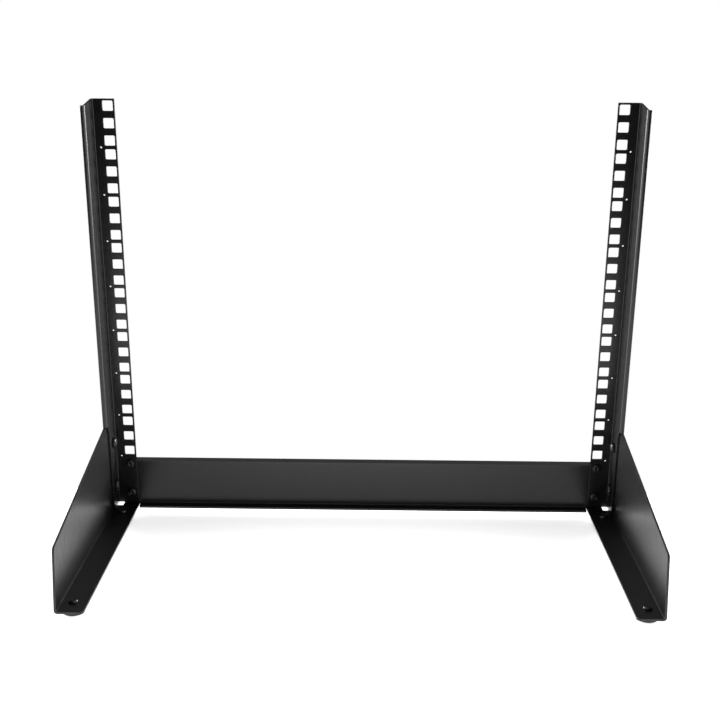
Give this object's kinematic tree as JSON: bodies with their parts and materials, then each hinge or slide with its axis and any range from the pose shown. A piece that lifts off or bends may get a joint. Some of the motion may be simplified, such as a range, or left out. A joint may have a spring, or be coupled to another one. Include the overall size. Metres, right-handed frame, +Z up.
{
  "type": "two post open frame rack",
  "caption": "Desktop open frame with two leaning rails of square holes on low legs with rubber feet, holding rack equipment tilted back above a desk.",
  "frame": {"origin": "centre of the footprint, on the desk under the feet", "axes": "+X runs across the rack, -Y is the way the legs reach, +Z is up"},
  "size_m": [0.5104, 0.273, 0.4127],
  "materials": {
    "coated_steel": "semi-gloss black powder coat",
    "foot_rubber": "matte black moulded rubber",
    "fastener_steel": "black plated steel"
  },
  "bodies": {
    "root": {"cross_bar": "coated_steel", "left_rail": "coated_steel", "left_leg": "coated_steel", "left_front_foot": "foot_rubber", "left_rear_foot": "foot_rubber", "left_front_foot_screw": "fastener_steel", "left_rear_foot_screw": "fastener_steel", "left_front_foot_nut": "fastener_steel", "left_rear_foot_nut": "fastener_steel", "left_upper_bar_screw": "fastener_steel", "left_lower_bar_screw": "fastener_steel", "left_upper_bar_nut": "fastener_steel", "left_lower_bar_nut": "fastener_steel", "left_upper_leg_bolt": "fastener_steel", "left_lower_leg_bolt": "fastener_steel", "left_upper_leg_nut": "fastener_steel", "left_lower_leg_nut": "fastener_steel", "right_rail": "coated_steel", "right_leg": "coated_steel", "right_front_foot": "foot_rubber", "right_rear_foot": "foot_rubber", "right_front_foot_screw": "fastener_steel", "right_rear_foot_screw": "fastener_steel", "right_front_foot_nut": "fastener_steel", "right_rear_foot_nut": "fastener_steel", "right_upper_bar_screw": "fastener_steel", "right_lower_bar_screw": "fastener_steel", "right_upper_bar_nut": "fastener_steel", "right_lower_bar_nut": "fastener_steel", "right_upper_leg_bolt": "fastener_steel", "right_lower_leg_bolt": "fastener_steel", "right_upper_leg_nut": "fastener_steel", "right_lower_leg_nut": "fastener_steel"}
  },
  "joints": []
}
